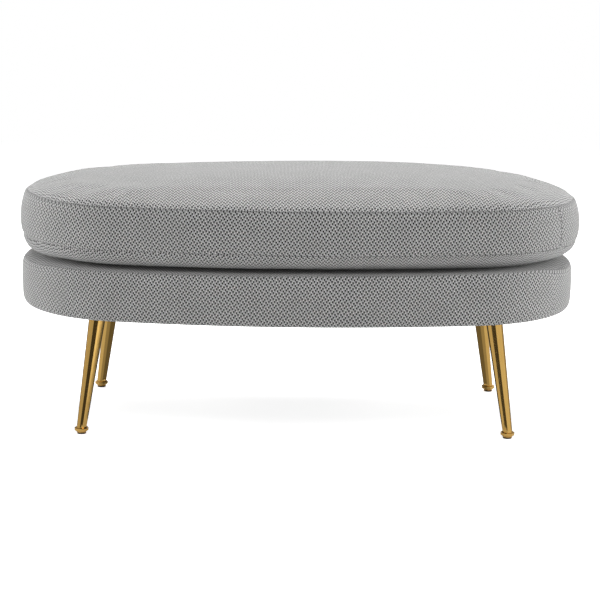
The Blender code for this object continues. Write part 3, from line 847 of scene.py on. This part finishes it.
def cut_openings(piece, centres, radius):
    """Cuts round upright openings through a piece."""
    for centre in centres:
        form = bmesh.new()
        bmesh.ops.create_cone(
            form, cap_ends=True, segments=OPENING_SIDES, radius1=radius, radius2=radius, depth=OPENING_DEPTH
        )
        mesh = bpy.data.meshes.new("opening")
        form.to_mesh(mesh)
        form.free()
        cutter = bpy.data.objects.new("opening", mesh)
        cutter.location = centre
        bpy.context.scene.collection.objects.link(cutter)
        opening = piece.modifiers.new("opening", "BOOLEAN")
        opening.object = cutter
        opening.solver = "EXACT"
        bpy.context.view_layer.update()
        cut = bpy.data.meshes.new_from_object(piece.evaluated_get(bpy.context.evaluated_depsgraph_get()))
        piece.modifiers.remove(opening)
        piece.data = cut
        bpy.data.objects.remove(cutter)


def outline_distance(x, y):
    """How far inside the plan a point in its first quarter is."""
    if math.atan2(y, x - END_X) < END_TURN:
        return END_RADIUS - math.hypot(x - END_X, y)
    return SIDE_RADIUS - math.hypot(x, y + SIDE_Y)


def dust_sheet():
    """The thin sheet under the base, tight at its stapled edge and in shallow waves further in."""
    low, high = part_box("dust_cover")
    inset = (LENGTH - (high.x - low.x)) / 2
    plates = [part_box(name) for name in frame["nodes"] if name.startswith("leg_plate_")]
    centres = [(first + last) / 2 for first, last in plates]
    radius = (plates[0][1].x - plates[0][0].x) / 2 + PLATE_CLEAR
    skin = Skin()
    rings = [skin.add(PLAN.ring(inset, z)) for z in (low.z, high.z)]
    skin.cap(rings[0], lambda flat: np.full(len(flat), low.z), facing_up=False)
    skin.panel(rings, [PLAN.upright_weave(0.0), PLAN.upright_weave(high.z - low.z)], [FAR, FAR])
    skin.cap(rings[1], lambda flat: np.full(len(flat), high.z), facing_up=True)
    made = skin.piece("dust_sheet", dust_cloth())
    cut_openings(made, centres, radius)
    for point in made.data.vertices:
        from_plate = min((point.co.xy - centre.xy).length for centre in centres) - radius
        from_edge = outline_distance(abs(point.co.x), abs(point.co.y)) - inset
        slack = smooth_step(SLACK_STARTS, SLACK_FULL, min(from_edge, from_plate + SLACK_STARTS))
        wave = noise.noise((point.co.x * SAG_SCALE[0], point.co.y * SAG_SCALE[1], SAG_SEED))
        point.co.z -= SAG_DEPTH * slack * (1 + wave)
    x, y = PLAN.ring(inset, 0.0)[:, :2].T
    area = abs(np.sum(x * np.roll(y, -1) - y * np.roll(x, -1))) / 2
    area -= len(centres) * math.pi * radius**2
    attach(made, "base")
    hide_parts("dust_cover")
    staples(inset + STAPLE_INSET, low.z)


def staples(inset, z):
    """Wire staples along the edge of the dust sheet, each a flat wire with its ends bent up."""
    spots = PLAN.ring(inset, z)[:: COLUMNS // STAPLES]
    outwards = PLAN.outward[:: COLUMNS // STAPLES]
    up = Vector((0.0, 0.0, 1.0))
    points = []
    faces = []
    for spot, outward in zip(spots, outwards):
        twist = STAPLE_TWIST * noise.noise(Vector(spot) * TWIST_SCALE)
        turn = math.atan2(outward[0], -outward[1]) + twist
        along = Vector((math.cos(turn), math.sin(turn), 0.0))
        half = Vector((-along.y, along.x, 0.0)) * STAPLE_WIDTH / 2
        first = len(points)
        for a, h in STAPLE_OUTLINE:
            outer = Vector(spot) + along * a * MM + up * h * MM
            on_leg = abs(a) == STAPLE_HALF
            inwards = along * -math.copysign(1.0, a) if on_leg else up
            inner = outer + inwards * STAPLE_THICKNESS
            points += [outer - half, outer + half, inner + half, inner - half]
        last = len(points) - 4
        for ring in range(first, last, 4):
            for i in range(4):
                j = (i + 1) % 4
                faces.append((ring + i, ring + j, ring + 4 + j, ring + 4 + i))
        faces.append((first + 3, first + 2, first + 1, first))
        faces.append((last, last + 1, last + 2, last + 3))
    mesh = bpy.data.meshes.new("staples")
    mesh.from_pydata([tuple(p) for p in points], [], faces)
    mesh.materials.append(zinc_steel())
    made = bpy.data.objects.new("staples", mesh)
    bpy.context.scene.collection.objects.link(made)
    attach(made, "base")


def finish_solids():
    """Procedural finishes on the solids that stay as they are, chosen by the start of their names."""
    gold, steel, wood = gold_metal(), zinc_steel(), plywood()
    finishes = {
        "leg_tube": gold,
        "foot_cup": gold,
        "foot_pad": pad_rubber(),
        "leg_plug": plug_plastic(),
        "leg_plate": steel,
        "leg_screw": steel,
        "deck_board": wood,
        "lower_board": wood,
        "frame_": wood,
        "base_side_hoop": hardboard(),
    }
    for name, solid in frame["nodes"].items():
        for start, mat in finishes.items():
            if name.startswith(start):
                solid.data.materials.clear()
                solid.data.materials.append(mat)


def stage_material(name):
    """An empty node tree for the floor or a glowing sheet that paints a reflection, with its output node."""
    mat = bpy.data.materials.new(name)
    mat.use_nodes = True
    mat.node_tree.nodes.clear()
    return mat, mat.node_tree, mat.node_tree.nodes.new("ShaderNodeOutputMaterial")


def stage_sheet(name, points, faces, mat):
    """A sheet that belongs to the studio and not to the bench."""
    mesh = bpy.data.meshes.new(name)
    mesh.from_pydata([tuple(p) for p in points], [], faces)
    mesh.materials.append(mat)
    made = bpy.data.objects.new(name, mesh)
    bpy.context.scene.collection.objects.link(made)
    return made


def floor():
    """A pale floor. The camera sees it close to white, and darker in the bench's shadow."""
    mat, tree, out = stage_material("floor")
    path = tree.nodes.new("ShaderNodeLightPath")
    pale = tree.nodes.new("ShaderNodeBsdfDiffuse")
    pale.inputs["Color"].default_value = FLOOR_COLOUR
    faint = tree.nodes.new("ShaderNodeBsdfDiffuse")
    faint.inputs["Color"].default_value = SEEN_COLOUR
    glow = tree.nodes.new("ShaderNodeEmission")
    glow.inputs["Strength"].default_value = SEEN_GLOW
    white = tree.nodes.new("ShaderNodeAddShader")
    tree.links.new(faint.outputs[0], white.inputs[0])
    tree.links.new(glow.outputs[0], white.inputs[1])
    pick = tree.nodes.new("ShaderNodeMixShader")
    tree.links.new(path.outputs["Is Camera Ray"], pick.inputs[0])
    tree.links.new(pale.outputs[0], pick.inputs[1])
    tree.links.new(white.outputs[0], pick.inputs[2])
    tree.links.new(pick.outputs[0], out.inputs["Surface"])
    size = FLOOR_SIZE
    corners = [(-size, -size, 0), (size, -size, 0), (size, size, 0), (-size, size, 0)]
    stage_sheet("floor", corners, [(0, 1, 2, 3)], mat)


def world():
    """Even soft light, which the camera and reflections see as white."""
    made = bpy.data.worlds.new("studio")
    bpy.context.scene.world = made
    made.use_nodes = True
    tree = made.node_tree
    back = tree.nodes["Background"]
    back.inputs["Color"].default_value = (1.0, 1.0, 1.0, 1.0)
    path = tree.nodes.new("ShaderNodeLightPath")
    seen = path.outputs["Is Camera Ray"]
    for ray in ("Is Glossy Ray", "Is Transmission Ray"):
        either = tree.nodes.new("ShaderNodeMath")
        either.operation = "MAXIMUM"
        tree.links.new(seen, either.inputs[0])
        tree.links.new(path.outputs[ray], either.inputs[1])
        seen = either.outputs[0]
    strength = tree.nodes.new("ShaderNodeMapRange")
    strength.inputs["To Min"].default_value = WORLD_LIGHT
    strength.inputs["To Max"].default_value = 1.0
    tree.links.new(seen, strength.inputs["Value"])
    tree.links.new(strength.outputs[0], back.inputs["Strength"])


def glowing(name, brightness):
    """A plain glow of one brightness."""
    mat, tree, out = stage_material(name)
    glow = tree.nodes.new("ShaderNodeEmission")
    glow.inputs["Strength"].default_value = brightness
    tree.links.new(glow.outputs[0], out.inputs["Surface"])
    return mat


def painted_leg_reflections():
    """Curved grey glowing sheets around the legs, which only reflections show: painted reflections of the
    unlit and lit sides of a studio, as streaks in the polished metal.
    """
    for corner, reflection_sheets in LEG_REFLECTION_SHEETS.items():
        foot, top = [sum(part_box(f"{part}_{corner}"), Vector()) / 2 for part in ("foot_pad", "leg_plate")]
        distance = REFLECTION_SHEET_DISTANCE[corner.split("_")[0]]
        towards = math.degrees(math.atan2(CAMERA_AT.x - foot.x, foot.y - CAMERA_AT.y))
        for number, (start, stop, brightness) in enumerate(reflection_sheets):
            points = []
            for turn in np.radians(towards + np.linspace(start, stop, REFLECTION_SHEET_COLUMNS)):
                out = distance * Vector((math.sin(turn), -math.cos(turn), 0.0))
                points += [foot + out, top + out]
            faces = [(i, i + 1, i + 3, i + 2) for i in range(0, len(points) - 2, 2)]
            reflection_sheet = stage_sheet(f"flag_{corner}_{number}", points, faces, glowing("reflection_sheet", brightness))
            reflection_sheet.visible_camera = False
            reflection_sheet.visible_diffuse = False
            reflection_sheet.visible_shadow = False
            reflection_sheet.visible_transmission = False


def softbox(name, place, target, size, power):
    """A flat lamp that faces its target."""
    lamp = bpy.data.lights.new(name, "AREA")
    lamp.shape = "RECTANGLE"
    lamp.size, lamp.size_y = size
    lamp.energy = power
    made = bpy.data.objects.new(name, lamp)
    made.location = place
    made.rotation_euler = (Vector(target) - Vector(place)).to_track_quat("-Z", "Y").to_euler()
    bpy.context.scene.collection.objects.link(made)


def studio():
    floor()
    world()
    painted_leg_reflections()
    for name, values in LAMPS.items():
        softbox(name, *values)


def camera():
    """A camera at the fitted place, turned by yaw, pitch and roll."""
    forward = Vector((
        math.sin(CAMERA_YAW) * math.cos(CAMERA_PITCH),
        math.cos(CAMERA_YAW) * math.cos(CAMERA_PITCH),
        -math.sin(CAMERA_PITCH),
    ))
    level = Vector((math.cos(CAMERA_YAW), -math.sin(CAMERA_YAW), 0.0))
    upright = level.cross(forward)
    right = math.cos(CAMERA_ROLL) * level + math.sin(CAMERA_ROLL) * upright
    up = math.cos(CAMERA_ROLL) * upright - math.sin(CAMERA_ROLL) * level
    data = bpy.data.cameras.new("camera")
    data.sensor_width = SENSOR
    data.lens = FOCAL_PIXELS / FRAME_PIXELS * SENSOR
    made = bpy.data.objects.new("camera", data)
    turn = Matrix((right, up, -forward)).transposed().to_4x4()
    made.matrix_world = Matrix.Translation(CAMERA_AT) @ turn
    bpy.context.scene.collection.objects.link(made)
    bpy.context.scene.camera = made


camera()
seat_cushion()
base_cover()
dust_sheet()
finish_solids()
studio()
bpy.context.scene.view_settings.view_transform = "Standard"
